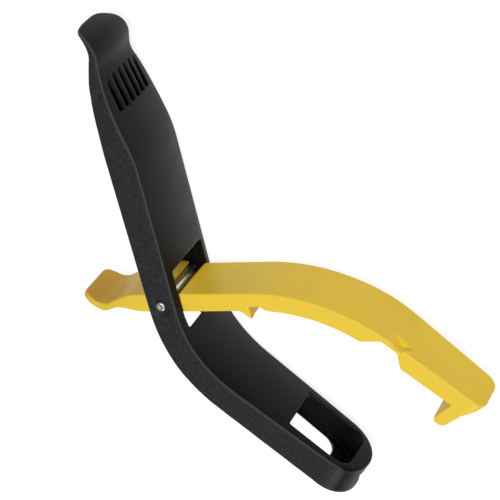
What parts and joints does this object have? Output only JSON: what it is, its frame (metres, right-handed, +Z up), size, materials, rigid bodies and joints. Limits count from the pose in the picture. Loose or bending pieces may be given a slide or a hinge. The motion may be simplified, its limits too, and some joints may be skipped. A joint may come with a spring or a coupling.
{
  "type": "tyre lever",
  "caption": "Crossed plastic tyre levers that turn on a steel pin: a wide lever with a window, and a narrow hooked lever that passes through it.",
  "frame": {"origin": "under the middle of the pair as it lies on its side, on the plane of the outer lever's lower side face", "axes": "+X along the pair from the handles to the outer lever's spoon, +Y from the top faces to the hollow undersides, +Z up, along the pin"},
  "size_m": [0.1538, 0.075, 0.027],
  "materials": {
    "outer_plastic": "black moulded nylon, fine spark grain on the sides, smoother on top",
    "inner_plastic": "yellow moulded nylon, satin",
    "pin_steel": "bright turned steel"
  },
  "bodies": {
    "outer": {"outer_lever": "outer_plastic", "pivot_pin": "pin_steel"},
    "inner": {"inner_lever": "inner_plastic"}
  },
  "joints": [
    {"name": "pivot", "type": "hinge", "parent": "outer", "child": "inner", "pos_m": [0.0121, 0.01803, 0.0135], "axis": [0, 0, 1], "range_deg": [-30, 50]}
  ]
}
